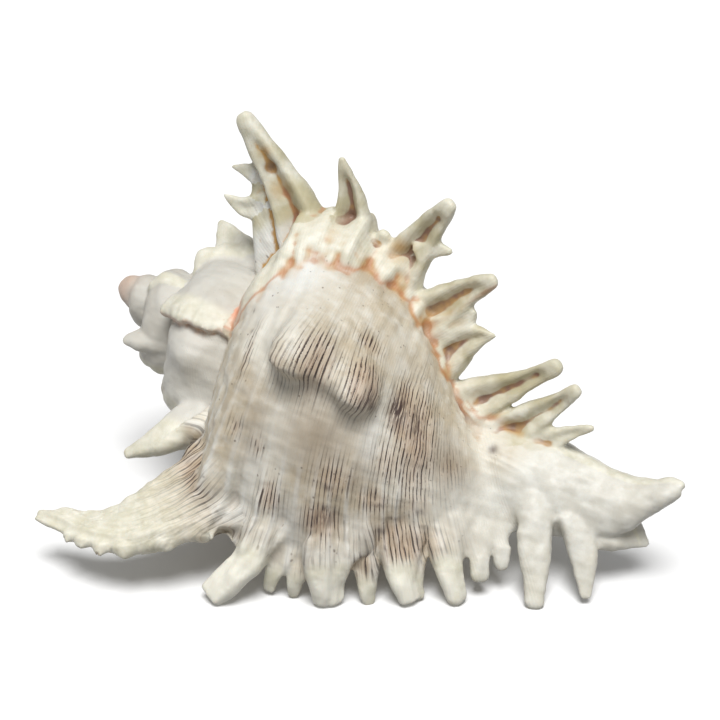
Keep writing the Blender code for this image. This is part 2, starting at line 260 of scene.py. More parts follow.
def coil_body(first=-1560.0, step=1.25):
    """The whorls as one tube, from the apex to the lip, a section every few degrees."""
    growth = np.arange(first, 0.01, step)[:, None]
    h, r = OUTLINE[None, :, 0], OUTLINE[None, :, 1]
    fade = np.clip((146 - h) / 30, 0, 1) * np.clip((h - 50) / 6, 0, 1)
    knob, forward, back = knob_lift(growth, h)
    varix, lean = varix_lift(growth, h)
    out = (varix + knob) * fade
    scale = coil_scale(growth)
    h_out = scale * (h - back - out * SLOPE[None, :, 1] + HIDDEN) - HIDDEN
    r_out = scale * body_swell(growth) * (r + out * SLOPE[None, :, 0])
    turn = np.degrees((forward + lean * fade) / 50.0)
    core_h = scale * (np.linspace(OUTLINE[-1, 0], OUTLINE[0, 0], 8)[None] + HIDDEN) - HIDDEN
    core_r = np.broadcast_to(scale * 1.5, core_h.shape)
    angle = np.hstack([LIP - growth - turn, np.broadcast_to(LIP - growth, core_h.shape)])
    return tube(place(np.hstack([h_out, core_h]), np.hstack([r_out, core_r]), angle))


# %% [markdown]
# ## Canal, pillar, mouth and slit
#
# The siphonal canal is a flattened tube that bends upwards, white and smooth.  The pillar on the
# axis is the inner side of the mouth.  The mouth itself is the hollow of the tube, swept back
# along the coil, and the slit is the narrow gap that runs down the underside of the canal.

# %% Canal, pillar, mouth and slit
# h, r, and half width and half depth of the canal
CANAL = [(98, 0, 8, 8), (108, -1, 11, 11), (119, -2, 16, 14.5), (129, -0.5, 17.5, 14.5),
         (138, 2.5, 16, 12.5), (148, 5, 14, 10.5), (157, 6.5, 12.5, 9), (165, 9, 11, 8),
         (171, 13.5, 9, 6.5), (175.5, 18, 7.5, 5.5), (179, 22, 5, 4), (181.5, 24.5, 2.6, 2.4)]
COLUMELLA = [(46, 9), (70, 9.5), (90, 10.5), (108, 12), (122, 14)]
MOUTH = [(58, 31), (61, 38.5), (67, 44), (77, 47.5), (88, 48), (100, 44.5), (110, 38),
         (119, 30), (127, 20), (131, 13), (127, 9.5), (116, 10.5), (104, 12),
         (92, 13.5), (80, 16), (71, 20), (62, 26)]


def canal_body():
    """A flattened tube along the canal, broad side up."""
    a = np.linspace(0, 2 * math.pi, 64, endpoint=False)[None, :, None]
    rows = smooth_line(CANAL, 90)
    middle = place(rows[:, 0], rows[:, 1], np.full(len(rows), 92.0))[:, None]
    broad, deep = radial(np.array(120.0)), radial(np.array(30.0))
    return tube(middle + rows[:, 2, None, None] * np.cos(a) * broad
                + rows[:, 3, None, None] * np.sin(a) * deep)


def columella_body():
    """The pillar that the whorls turn about."""
    rows = smooth_line(COLUMELLA, 40)
    return tube(place(rows[:, :1], rows[:, 1:], np.arange(0.0, 360.0, 7.5)[None]))


def apex_body():
    """The worn first whorl, a blunt cap."""
    rows = smooth_line([(-1.4, 0.4), (-0.8, 2.2), (1.0, 4.0), (3.5, 5.2), (6.0, 5.5)], 16)
    return tube(place(rows[:, :1], rows[:, 1:], np.arange(0.0, 360.0, 12.0)[None]))


def mouth_hollow(inner=-235.0):
    """The inside of the tube, from in front of the lip back to the growth angle inner."""
    outline = smooth_line(MOUTH + MOUTH[:1], 129)[:-1]
    middle = outline.mean(axis=0)
    growth = np.arange(12.0, inner - 1, -3.0)[:, None]
    close = np.clip((growth - inner) / 60.0, 0.05, 1.0) ** 0.5
    scale = coil_scale(growth)
    h = middle[0] + (outline[None, :, 0] - middle[0]) * close
    r = middle[1] + (outline[None, :, 1] - middle[1]) * close
    return tube(place(scale * (h + HIDDEN) - HIDDEN, scale * body_swell(growth) * r, LIP - growth))


def canal_slit(width=3.0):
    """The gap under the canal, its width in mm."""
    rows = smooth_line(CANAL, 60)[7:]
    down, across = radial(np.array(-118.0)), radial(np.array(-208.0))
    middle = place(rows[:, 0], rows[:, 1], np.full(len(rows), 92.0))[:, None]
    half = (width / 2 * np.minimum(1.0, rows[:, 2] / 6.0))[:, None, None]
    side = np.array([-1.0, 1.0, 1.0, -1.0])[None, :, None]
    drop = np.array([-1.0, -1.0, 40.0, 40.0])[None, :, None]
    return tube(middle + across * half * side + down * drop)


print("canal from h %.0f to %.0f mm" % (CANAL[0][0], CANAL[-1][0]))


# %% [markdown]
# ## The spines
#
# A murex spine is a fold of the lip that never quite closed, so it is flat, keeps a groove on the
# side that faced forward, and its edges are ragged.  Each is a bent tapering tube with that
# groove pressed in, and fine ridges on its back that run off its edge.

# %% Spine tables
# each row: root, middle and tip as (h, r); half width at each; thickness over width;
# phi at root and tip; depth of the groove; height of the ridges on the back; and, where it isn't
# phi at the root, the angle that the spine faces away from
LIP_SPINES = [
    [(69, 40), (47, 70), (21, 77), (17.5, 9, 2.2), 0.4, -20, -34, 0, 0.75],
    [(84, 46), (83, 61), (77.5, 72.5), (9.5, 5, 4.4), 0.7, -18, -34, 0, 0.3],
    [(100, 40), (104, 52), (107, 57.5), (12, 6.4, 4.6), 0.6, -16, -34, 0, 0.3],
    [(114, 30), (121, 41), (127, 46), (9.5, 5, 3.4), 0.65, -16, -34, 0, 0.2],
    [(126, 22), (132, 33), (138, 38), (8, 4.4, 3), 0.7, -16, -34, 0, 0.2],
    [(133, 20), (138, 26), (141, 30), (5, 3.5, 2.6), 0.8, -20, -32, 0, 0.2],
    [(137, 14), (142, 20), (145, 24), (4.5, 3, 2), 0.8, -20, -32, 0, 0.1],
    [(143, 11), (148.5, 13.5), (158, 29), (4.5, 5.2, 2.8), 0.62, 36, -34, 0, 0, -34],
    [(155, 10), (161.5, 10), (170, 20), (4, 4.8, 2), 0.62, 36, -34, 0, 0, -34],
    [(155, 5), (168, 3.5), (177.5, 3), (9, 8, 1.6), 0.42, 45, 146, 0, 0, -34],
]
TOP_SPINES = [
    [(62, 28), (43, 50), (22.6, 68), (12, 6.6, 3), 0.8, 98, 93, 0.55, 0.2],
    [(52, 26), (35.5, 46), (28, 58), (13, 6.2, 1.6), 0.5, 102, 97, 0, 0.3],
    [(65, 32), (61, 55), (54, 69.5), (11, 5.2, 1.3), 0.75, 100, 94, 0.8, 0.1],
    [(78, 36), (84, 58), (88.5, 71), (10, 5.2, 2.6), 0.75, 100, 94, 0.7, 0.1],
    [(90, 30), (100, 46), (108, 56), (9, 5, 2), 0.7, 100, 94, 0.6, 0.1],
    [(99, 24), (107, 35), (114.5, 41), (10, 5, 0.9), 0.7, 100, 94, 0.5, 0.1],
    [(113, 15), (125, 29), (134, 40.5), (8, 4, 2.6), 0.75, 100, 94, 0.6, 0.1],
    [(125, 10), (136, 26), (142, 36.5), (7.5, 4, 2), 0.75, 100, 94, 0.6, 0.1],
    [(135, 11), (143, 21), (150.5, 28.5), (6, 3, 0.9), 0.75, 100, 94, 0.4, 0.05],
]
BACK_SPINES = [
    [(45, 24), (28, 45), (12, 66.5), (14, 5.6, 2.3), 0.6, 220, 216, 0.7, 0.2],
    [(54, 27), (50, 50), (46, 73), (9.5, 4.4, 1.8), 0.75, 220, 216, 0.7, 0.1],
    [(65, 30), (67, 50), (68, 72), (9, 4.4, 2.4), 0.75, 220, 218, 0.6, 0.1],
    [(77, 25), (82, 44), (87, 61), (8, 4.2, 2.2), 0.75, 220, 218, 0.6, 0.1],
    [(92, 17), (99, 36), (104, 52), (7.5, 3.8, 2), 0.75, 220, 218, 0.5, 0.1],
    [(108, 12), (116, 26), (122, 38), (7, 3.6, 1.5), 0.75, 220, 217, 0.5, 0.1],
    [(124, 10), (132, 20), (138, 28), (6.5, 3.4, 1.2), 0.75, 220, 215, 0.4, 0.05],
    [(140, 9), (148, 16), (154, 22), (5.5, 3, 1), 0.75, 218, 210, 0.4, 0.05],
]
SPIRE_SPINES = [
    [(50, 20), (42, 38), (33, 48), (9.5, 5.2, 2), 0.8, -20, -32, 0, 0.1],
    [(38, 14), (27, 24), (17, 31), (14, 7.5, 1.4), 0.6, 118, 130, 0.2, 0.2],
    [(42, 15), (33, 27), (24, 36), (9, 4.4, 1.2), 0.7, 222, 218, 0.3, 0.1],
    [(27, 6), (18, 13), (12, 17), (9, 5, 1.6), 0.6, -20, -26, 0, 0.1],
]
FRONDS = [
    [(36, 45), (29, 41), (21.5, 41.5), (4.5, 3.2, 0.9), 0.7, 98, 98, 0.3, 0],
    [(30, 52), (26, 52), (21.5, 51), (3.2, 2.2, 0.7), 0.7, 97, 97, 0.2, 0],
    [(57, 38), (57, 45), (56, 49.5), (6.5, 4, 1.8), 0.8, 100, 96, 0.4, 0],
    [(84, 52), (89, 56), (93, 57.5), (4, 2.4, 1.2), 0.8, 98, 96, 0.2, 0],
    [(71, 40), (72, 48), (73, 53), (7, 4.2, 2.2), 0.8, 100, 96, 0.4, 0],
    [(96, 30), (104, 41), (106, 44), (6, 3.4, 1), 0.8, 99, 96, 0.2, 0],
    [(91, 50), (90, 58), (90, 62), (5.5, 3.2, 2), 0.7, -24, -36, 0, 0.1],
    [(96, 48), (96, 56), (97, 60), (5, 3, 1.8), 0.7, -24, -36, 0, 0.1],
    [(108, 40), (113, 48), (117, 52), (5, 3, 1.8), 0.7, -24, -36, 0, 0.1],
    [(120, 32), (125, 40), (129, 43), (5, 2.8, 1.6), 0.7, -24, -36, 0, 0.1],
]
# teeth on the edge of the long first blade: share of its length, and length in mm
TEETH = [(0.22, 3.5), (0.36, 2.5), (0.50, 2.2), (0.59, 3.2), (0.68, 2.8), (0.76, 2.2)]
SPINES = LIP_SPINES + TOP_SPINES + BACK_SPINES + SPIRE_SPINES + FRONDS
print("spines and side fronds:", len(SPINES))


# %% [markdown]
# Each spine is lofted from rings along its own bent centre line.  Its section is between a round
# and a square, since a spine is a folded sheet and has soft edges.

# %% Spine shape
RIDGE_SPACING = 3.6
BLUNT = 3.0          # half width in mm above which a tip is broken off flat


def spine_path(row, count):
    """Centre line, half width, and the broad and forward directions along a spine."""
    root, middle, tip, widths, _, phi_root, phi_tip = row[:7]
    ends = np.array([(*root, phi_root), (*middle, (phi_root + phi_tip) / 2), (*tip, phi_tip)])
    knots = place(ends[:, 0], ends[:, 1], ends[:, 2])
    line = smooth_line(np.hstack([knots, np.array(widths, float)[:, None]]), count)
    path, size = line[:, :3], line[:, 3]
    along = np.gradient(path, axis=0)
    along /= np.linalg.norm(along, axis=1, keepdims=True)
    facing = row[9] if len(row) > 9 else phi_root
    forward = -radial(np.array(facing + 90.0))
    broad = np.cross(along, forward)
    broad /= np.linalg.norm(broad, axis=1, keepdims=True)
    return path, size, along, broad, np.cross(broad, along)


def spine_body(row, seed):
    """A closed spine; the seed gives it its own slight unevenness."""
    thickness, groove, ridges = row[4], row[7], row[8]
    path, size, along, broad, deep = spine_path(row, 48)
    draw = np.random.default_rng(seed)
    t = np.linspace(0, 1, len(path))
    wander = sum(draw.uniform(-1, 1) * np.sin(f * math.pi * t + draw.uniform(0, 6))
                 for f in (2, 3, 5, 8))
    size = size * (1 + 0.018 * wander)
    a = np.linspace(0, 2 * math.pi, 56, endpoint=False)
    square = 1.0 / np.maximum(np.abs(np.cos(a)), np.abs(np.sin(a))) ** 0.35
    x = (square * np.cos(a))[None] * size[:, None]
    y = (square * np.sin(a))[None] * size[:, None] * thickness
    if row is LIP_SPINES[0]:
        for place_along, length in TEETH:
            tooth = np.clip(1 - np.abs(t - place_along - 0.01) / 0.035, 0, 1)
            x = x + length * tooth[:, None] * np.clip(np.cos(a), 0, 1)[None] ** 3
    front = np.clip(np.sin(a), 0, 1)[None]
    closing = (smooth(t, 0.02, 0.2) * (1 - smooth(t, 0.75, 0.97)))[:, None]
    y = y - groove * closing * 1.6 * thickness * size[:, None] * front * bell(np.cos(a), 0.5)[None]
    back = np.clip(-np.sin(a), 0, 1)[None] ** 0.5
    y = y - ridges * back * np.cos(2 * math.pi * (size[:, None] - x) / RIDGE_SPACING)
    rings = path[:, None] + x[..., None] * broad[:, None] + y[..., None] * deep[:, None]
    shrink, ahead = (0.86, 0.5), (0.45, 0.75)
    if row[3][2] > BLUNT:
        shrink, ahead = (0.95, 0.75), (0.12, 0.25)
    cap = path[-1] + (rings[-1] - path[-1]) * np.array(shrink)[:, None, None]
    cap = cap + along[-1] * size[-1] * np.array(ahead)[:, None, None]
    return tube(np.concatenate([rings, cap]))


print("points in one spine:", len(spine_body(LIP_SPINES[1], 1)[0]))


# %% [markdown]
# ## One skin
#
# The shell is one piece.  Boolean unions of so many parts are slow and leave slivers, so a voxel
# remesh joins them: it leaves one even skin of small quads, and the spines grow out of the wall
# without a seam.  The mouth and the slit are cut after it, so that their edges stay crisp.

# %% Mesh helpers
VOXEL = 0.55         # mm
ROUNDING = 6         # steps of smoothing that take the corners off the voxels


def mesh_object(name, bodies):
    """One object that holds several closed meshes given in millimetres."""
    verts, faces, start = [], [], 0
    for body_verts, body_faces in bodies:
        verts.append(body_verts)
        faces += [tuple(start + i for i in face) for face in body_faces]
        start += len(body_verts)
    mesh = bpy.data.meshes.new(name)
    mesh.from_pydata((np.vstack(verts) * 0.001).tolist(), [], faces)
    made = bmesh.new()
    made.from_mesh(mesh)
    bmesh.ops.recalc_face_normals(made, faces=made.faces)
    made.to_mesh(mesh)
    made.free()
    obj = bpy.data.objects.new(name, mesh)
    bpy.context.scene.collection.objects.link(obj)
    return obj


def apply_modifiers(obj):
    """Makes what the modifiers show the object's own mesh."""
    graph = bpy.context.evaluated_depsgraph_get()
    mesh = bpy.data.meshes.new_from_object(obj.evaluated_get(graph))
    obj.modifiers.clear()
    obj.data = mesh


def cut_away(obj, body):
    """Takes a closed body out of the object."""
    cutter = mesh_object("cutter", [body])
    cut = obj.modifiers.new("cut", "BOOLEAN")
    cut.operation = "DIFFERENCE"
    cut.object = cutter
    apply_modifiers(obj)
    bpy.data.objects.remove(cutter)


def coordinates(mesh):
    """Vertices in mm."""
    co = np.empty(len(mesh.vertices) * 3)
    mesh.vertices.foreach_get("co", co)
    return co.reshape(-1, 3) * 1000


def set_coordinates(mesh, points):
    mesh.vertices.foreach_set("co", (points * 0.001).ravel())
    mesh.update()


def edge_ends(mesh):
    ends = np.empty(len(mesh.edges) * 2, dtype=np.int64)
    mesh.edges.foreach_get("vertices", ends)
    return ends.reshape(-1, 2)


def relax(values, ends, steps, share=0.5, weight=1.0):
    """Moves each vertex's values towards the mean of its neighbours', several times."""
    count = len(values)
    links = np.bincount(ends.ravel(), minlength=count)
    for _ in range(steps):
        near = np.stack([np.bincount(ends[:, 0], values[ends[:, 1], i], count)
                         + np.bincount(ends[:, 1], values[ends[:, 0], i], count)
                         for i in range(values.shape[1])], 1) / np.maximum(links, 1)[:, None]
        values = values + share * weight * (near - values)
    return values


# %% Join into one skin
bodies = [coil_body(), canal_body(), columella_body(), apex_body()]
bodies += [spine_body(row, 40 + i) for i, row in enumerate(SPINES)]
shell = mesh_object("murex_shell", bodies)
fuse = shell.modifiers.new("fuse", "REMESH")
fuse.mode = "VOXEL"
fuse.voxel_size = VOXEL * 0.001
apply_modifiers(shell)
ends = edge_ends(shell.data)
set_coordinates(shell.data, relax(coordinates(shell.data), ends, ROUNDING))
cut_away(shell, mouth_hollow())
cut_away(shell, canal_slit())
print("faces of the joined skin:", len(shell.data.polygons))


# %% [markdown]
# A voxel remesh also wraps any closed pocket inside, and such a skin is never seen.  Each vertex
# takes the lowest number among its neighbours until none changes, so that every separate skin
# ends with one number of its own, and all but the largest are deleted.

# %% Keep the outer skin
def keep_outer_skin(obj):
    """Drops every loose skin but the largest."""
    ends = edge_ends(obj.data)
    label = np.arange(len(obj.data.vertices))
    while True:
        lower = np.minimum(label[ends[:, 0]], label[ends[:, 1]])
        new = label.copy()
        np.minimum.at(new, ends[:, 0], lower)
        np.minimum.at(new, ends[:, 1], lower)
        new = new[new]
        if np.array_equal(new, label):
            break
        label = new
    main = np.bincount(label).argmax()
    loose = label != main
    if loose.any():
        made = bmesh.new()
        made.from_mesh(obj.data)
        made.verts.ensure_lookup_table()
        bmesh.ops.delete(made, geom=[made.verts[i] for i in np.flatnonzero(loose)], context="VERTS")
        made.to_mesh(obj.data)
        made.free()
    print("loose vertices dropped:", int(loose.sum()))


keep_outer_skin(shell)

# %% [markdown]
# ## Where each point lies on the coil
#
# The colour of a shell is laid down at the growing lip, so it is a matter of two numbers: how far
# along the coil a place is (growth) and how far across the whorl (across).  Both are worked out
# for every vertex by trying each whorl in turn and keeping the one whose outline is nearest.


# %% Growth and across
def coil_coordinates(points):
    """Growth, across, h at the lip and gap to the outline, and h, r and phi, of each point."""
    h, r, phi = coil_place(points)
    best = np.full(len(points), 1e9)
    growth, across, lip_h = np.zeros(len(points)), np.zeros(len(points)), np.zeros(len(points))
    for turn in range(-1, 4):
        g = np.mod(LIP - phi, 360.0) - 360.0 - 360.0 * turn
        scale = coil_scale(g)
        lip = np.stack([(h + HIDDEN) / scale - HIDDEN, r / (scale * body_swell(g))], 1)
        for start in range(0, len(points), 20000):
            part = slice(start, start + 20000)
            gap = np.hypot(lip[part, :1] - OUTLINE[None, :, 0],
                           lip[part, 1:] - OUTLINE[None, :, 1])
            i = gap.argmin(axis=1)
            d = gap[np.arange(len(i)), i] * scale[part]
            slip = np.clip(((lip[part] - OUTLINE[i]) * SLOPE[i]).sum(1), -1.2, 1.2)
            better = (d < best[part]) & (g[part] < 25.0)
            best[part] = np.where(better, d, best[part])
            growth[part] = np.where(better, g[part], growth[part])
            across[part] = np.where(better, ACROSS[i] + slip, across[part])
            lip_h[part] = np.where(better, OUTLINE[i, 0] + slip * SLOPE[i, 0], lip_h[part])
    return growth, across, lip_h, best, h, r, phi


points = coordinates(shell.data)
growth, across, lip_h, gap, h, r, phi = coil_coordinates(points)
print("growth from %.0f to %.0f degrees" % (growth.min(), growth.max()))

# %% [markdown]
# On a spine the useful measures are others: which spine it is, how far along it from root to tip,
# how far to the side of its centre line, and whether in its groove.  A point belongs to the spine
# whose centre line is nearest, counted in that spine's own widths.

# %% Spine coordinates
along_spine, across_spine, in_groove, spine_kind = np.zeros((4, len(points)))
nearest = np.ones(len(points))
for number, row in enumerate(SPINES):
    path, size, along, broad, deep = spine_path(row, 40)
    box_low, box_high = path.min(0) - 2 * size.max(), path.max(0) + 2 * size.max()
    pick = np.flatnonzero(((points > box_low) & (points < box_high)).all(axis=1))
    if not len(pick):
        continue
    i = ((points[pick, None] - path[None]) ** 2).sum(-1).argmin(axis=1)
    away = points[pick] - path[i]
    x, y = (away * broad[i]).sum(1), (away * deep[i]).sum(1)
    ratio = np.hypot(x, y) / (size[i] * 1.25)
    closer = ratio < nearest[pick]
    target = pick[closer]
    nearest[target] = ratio[closer]
    along_spine[target] = (i / 39.0)[closer]
    across_spine[target] = x[closer]
    spine_kind[target] = number + 1
    grooved = (y > -0.2 * size[i]) * (row[7] > 0.35)
    in_groove[target] = (bell(x / size[i], 0.55) * grooved)[closer]

# %% [markdown]
# A real canal and the root of the longest spine leave the whorl without a seam, so the skin is
# smoothed hard there, and nowhere else.

# %% Soften the canal and the first spine's root
blade_along = along_spine.copy()
neck = smooth(h, 126, 138) * (1 - smooth(1 - nearest, 0.05, 0.3) * smooth(gap, 6, 12))
neck = np.maximum(neck, bell(growth + 8, 15) * bell(lip_h - 63, 9) * smooth(along_spine, 0.35, 0.2))
soft = (neck * (along_spine < 0.55))[:, None]
points = relax(points, edge_ends(shell.data), 60, 0.6, soft)
set_coordinates(shell.data, points)
along_spine *= smooth(gap, 3.0, 12.0) * (1 - 0.8 * smooth(h, 132, 142))
print("vertices on spines:", int((along_spine > 0.1).sum()))

# %% [markdown]
# ## Fine relief
#
# The wall is never smooth: it has low lumps, faint growth lines along the lip, and fine cords
# that run round the whorl and end in the spines.  All are moves of the skin along its normal.


# %% Fine relief
MM_PER_DEGREE = 0.87      # how far the lip of the last whorl moves in one degree of growth
CORD_SPACING = 5.2        # mm
WRINKLE_SPACING = 3.1     # mm, near the shoulder
THREAD_SPACING = 0.9      # mm, the finest ridges, which are left to the material's bump


def normals(mesh):
    """Unit normals of the vertices."""
    n = np.empty(len(mesh.vertices) * 3)
    mesh.vertex_normals.foreach_get("vector", n)
    return n.reshape(-1, 3)


canal = smooth(h + 5 * waves(points, 16.0, 31), 118, 142)
canal *= 1 - 0.5 * smooth(along_spine, 0.5, 0.9)
spire = smooth(-growth, 345, 372)
body = (1 - canal) * (1 - spire) * (1 - along_spine)
cord_sway = waves(np.stack([across / 8, growth / 30], 1), 1.0, 3)
cord = np.cos(2 * math.pi * across / CORD_SPACING + 0.8 * cord_sway)
wrinkle = np.cos(2 * math.pi * across / WRINKLE_SPACING)
lift = 0.30 * waves(points, 9.0, 11) + 0.14 * waves(points, 3.2, 12) + 0.06 * waves(points, 1.5, 13)
lift *= 1 - 0.6 * along_spine
lift += body * (0.08 + 0.50 * bell(growth, 26.0)) * cord
lift += body * 1.5 * bell(growth + 9.0, 12.0) * np.cos(station_phase(lip_h))
lift += body * 0.28 * bell(growth + 24, 26) * bell(lip_h - 74, 9) * wrinkle
growth_line = np.stack([growth * MM_PER_DEGREE, across * 0.08], 1)
lift += 0.06 * body * waves(growth_line, 2.2, 14)
lift += 0.12 * along_spine * waves(points, 4.0, 15)
print("relief up to %.1f mm" % np.abs(lift).max())

# %% [markdown]
# A few boring sponges and knocks leave small dark pits, and rust-coloured matter collects at the
# feet of the spines.  They are set one by one, each a place in the coil frame and a size.


# %% Pits and rust
def spot_share(rows):
    """Share of each point in the nearest of some round spots given as h, r, phi and size."""
    share = np.zeros(len(points))
    for h0, r0, phi0, size in rows:
        away = np.linalg.norm(points - place(h0, r0, phi0), axis=1)
        share = np.maximum(share, bell(away, size))
    return share


pit = spot_share([(127.9, 14.0, 60.0, 1.4), (58.1, 43.8, 1.0, 2.0), (34.5, 57.8, 92.6, 1.9),
                  (60.2, 46.2, 92.6, 1.2)])
rust = spot_share([(31.5, 62.0, 92.1, 1.8), (39.8, 53.5, 91.6, 2.6), (45.0, 48.5, 90.3, 2.2),
                   (49.1, 43.1, 84.7, 2.4), (79.4, 51.9, 94.2, 3.0), (60.2, 46.2, 92.6, 3.0)])
lift -= 0.8 * pit
points = points + lift[:, None] * normals(shell.data)
points[:, 2] = np.maximum(points[:, 2], 0.0)     # tips are worn level where they stand
set_coordinates(shell.data, points)
shell.data.shade_smooth()
print("vertices in pits and rust:", int((pit > 0.5).sum()), int((rust > 0.5).sum()))

# %% [markdown]
# Hollows are darkened with painted shade, and ochre and the grooves' colour gather in them,
# so the skin's own hollowness is measured: how far each place lies below the mean of its
# surroundings.

# %% Hollowness
points = coordinates(shell.data)
ends = edge_ends(shell.data)
normal = normals(shell.data)
hollow = ((relax(points, ends, 60, 0.8) - points) * normal).sum(1)
crease = ((relax(points, ends, 8, 0.8) - points) * normal).sum(1)
print("hollowness from %.2f to %.2f mm" % (np.percentile(hollow, 1), np.percentile(hollow, 99)))

# %% [markdown]
# ## Where the colours lie
#
# The mantle lays brown pigment down in patches while the shell grows, so each patch is an oval in
# growth and across the whorl, and the lines inside it run along the growth.  A painted texture
# would need an unwrapped skin; ovals in the coil's own measures need none and follow every lump.

# %% Colour patches
# growth, h at the lip, half length in growth and across, and strength of the brown lines
PATCHES = [
    (-67, 89, 9, 5, 0.8), (-62, 80, 7, 5, 0.35), (-68, 102.5, 8, 4.5, 1.0), (-84, 101, 4, 4, 0.6),
    (-68, 117, 12, 3.5, 1.1), (-58, 122, 24, 5, 0.9), (-45, 116, 10, 4, 0.6),
    (-28, 113, 5, 4, 0.7), (-30, 124, 10, 5, 0.6), (-33, 102, 7, 5, 0.6), (-18, 100, 5, 4, 1.0),
    (-20, 85, 5, 3, 0.8), (-12, 122, 7, 9, 0.8), (-34, 132, 22, 3.5, 0.6),
    (-60, 66, 8, 1.5, 0.5), (-36, 70, 3, 2, 0.55), (-34, 78, 3, 2, 0.5), (-8, 62, 6, 7, 0.9),
    (-4, 80, 6, 6, 0.4), (-2, 100, 6, 5, 0.4), (-4, 110, 5, 4, 0.5),
    (-190, 84, 10, 5, 0.7), (-196, 100, 8, 4, 0.8), (-178, 116, 20, 4, 0.6),
    (-170, 92, 8, 5, 0.4), (-305, 80, 10, 5, 0.7), (-312, 96, 10, 5, 0.8),
    (-296, 112, 18, 5, 0.7), (-276, 88, 8, 6, 0.6), (-220, 108, 10, 5, 0.5),
    (-162, 76, 8, 4, 0.5),
]
# bluish white at the top of the last whorl, at the lip's flare and beside the dark lines
PALE = [(-128, 56, 30, 9, 0.9), (-98, 70, 16, 12, 0.9), (-85, 64, 20, 8, 0.6),
        (-14, 92, 6, 5, 0.8), (-16, 110, 5, 3, 0.6), (-24, 78, 20, 5, 0.5),
        (-50, 110, 16, 3, 0.6), (-10, 75, 6, 8, 0.7), (-8, 105, 3, 25, 0.5)]
# tan washes: the shell's own darker band, which below the knob also stands for painted shade
TAN = [(-45, 95, 16, 13, 0.85), (-38, 107, 12, 8, 0.5), (-38, 75, 14, 7, 0.55),
       (-50, 70, 8, 5, 0.4), (-52, 132, 22, 7, 0.85), (-16, 98, 9, 10, 0.45),
       (-18, 114, 9, 9, 0.45), (-88, 112, 14, 10, 0.12), (-110, 92, 8, 12, 0.25),
       (-24, 98, 9, 8, 0.35), (-60, 80, 6, 5, 0.3)]
# dark smudges where the brown lines run together, and specks that stand alone
DARK = [(-68, 115, 7, 2.6, 1.2), (-66, 121, 6, 1.8, 0.9), (-64, 105, 4, 3, 0.9),
        (-18, 100, 2.5, 3, 0.8), (-24, 124, 2, 1.6, 0.8), (-15, 114, 1.6, 1.8, 0.8),
        (-30, 101, 1.2, 1.6, 0.8), (-22, 101, 1.0, 1.0, 0.9), (-26, 114, 1.0, 1.2, 0.8),
        (-20, 118, 1.0, 1.2, 0.7), (-17, 124.5, 1.0, 1.0, 0.7), (-68, 64, 1.2, 0.6, 0.6),
        (-76, 61, 1.0, 0.6, 0.6), (-55, 66, 1.4, 0.6, 0.6)]


def patch_share(rows, spread=1.0):
    """Share of each point in the strongest of some ovals."""
    share = np.zeros(len(points))
    for growth0, h0, growth_half, h_half, strength in rows:
        oval = bell(growth - growth0, growth_half * spread) * bell(lip_h - h0, h_half * spread)
        share = np.maximum(share, strength * oval)
    return share


lines, dark, tan = patch_share(PATCHES, 1.2), patch_share(DARK), patch_share(TAN)
pale = patch_share(PALE) * (1 - np.clip(lines, 0, 1))
rib = body * bell(growth + 12, 34) * smooth(cord, 0.35, 0.95)
pale = np.maximum(pale, 0.55 * rib)
lines *= (1 - canal) * (1 - smooth(along_spine, 0.12, 0.45)) * (1 - smooth(-growth, 345, 365))
print("share of the skin with brown lines: %.2f" % (lines > 0.2).mean())

# %% [markdown]
# The longest spine carries brown lines over its root, and there they fan out along the spine
# instead of along the whorl, so across is counted from that spine's centre line.  The lip's
# spines get painted light towards their tips, and those on top are stained a dull olive.

# %% Colours of the spines
FANNED = 200.0    # keeps across on the first spine clear of any value on the whorl
blade = (spine_kind == 1) * (growth > -60) * smooth(nearest, 0.95, 0.8)
blade = blade * bell(blade_along - 0.31, 0.11)
lines = np.maximum(lines, 1.1 * blade)
tan = np.maximum(tan, 0.5 * blade)
across = np.where(blade > 0.02, FANNED + across_spine, across)
lip_row = (spine_kind > 1) & (spine_kind <= len(LIP_SPINES))
top_row = (spine_kind > len(LIP_SPINES)) & (spine_kind <= len(LIP_SPINES) + len(TOP_SPINES))
# painted light: the lip's spines lightened towards their tips
painted_tip_light = lip_row * smooth(along_spine, 0.3, 0.7)
olive = top_row * smooth(along_spine, 0.0, 0.3) * (1 - 0.6 * smooth(along_spine, 0.7, 1.0))
print("vertices on the fanned lines:", int((blade > 0.02).sum()))

# %% [markdown]
# Orange and ochre gather where a varix meets the next stretch of whorl, in the creases between
# its folds, and in the fold that splits the tall spine on top.

# %% Colours of the varices
front, band, wall = np.zeros((3, len(points)))
for at, _, sweep, folds, _, width in VARICES[1:]:
    x, share = varix_place(growth, lip_h, at, sweep, folds, width)
    wall = np.maximum(wall, smooth(x, -9, -2) * (1 - smooth(share, 0.85, 1.02)))
    if at >= FRILL_VARIX:
        foot = x / np.where(np.abs(share) < 1e-3, 1e-3, share)
        front = np.maximum(front, bell(share - 0.9, 0.30) * (x > 0))
        strength = 0.9 if at == TOP_VARIX else 0.5
        band = np.maximum(band, bell(x - foot + 0.3, 1.1) * strength)
orange = front * smooth(crease, 0.05, 0.16) * (1 - smooth(along_spine, 0.02, 0.2))
orange = np.maximum(orange, band * smooth(waves(points, 14.0, 22), -1.1, 0.3)) * (1 - canal)
ochre = front * smooth(waves(points, 6.0, 21), -0.6, 0.7) * (1 - canal)
ochre = np.maximum(ochre * smooth(hollow, -0.4, 0.3), 1.1 * rust)
split = np.isin(spine_kind, (len(LIP_SPINES) + 1, len(LIP_SPINES) + 2))
fold = split * np.maximum(smooth(crease, 0.04, 0.16), smooth(hollow, 0.5, 1.3))
fold_patch = waves(points, 9.0, 25)
orange = np.maximum(orange, 0.8 * fold * smooth(fold_patch, -0.4, 0.4))
ochre = np.maximum(ochre, 1.4 * fold * smooth(fold_patch, 0.2, -0.6))
salmon = bell(lip_h - 52.5, 2.2) * bell(growth + 78, 7) * bell(gap, 4.0)
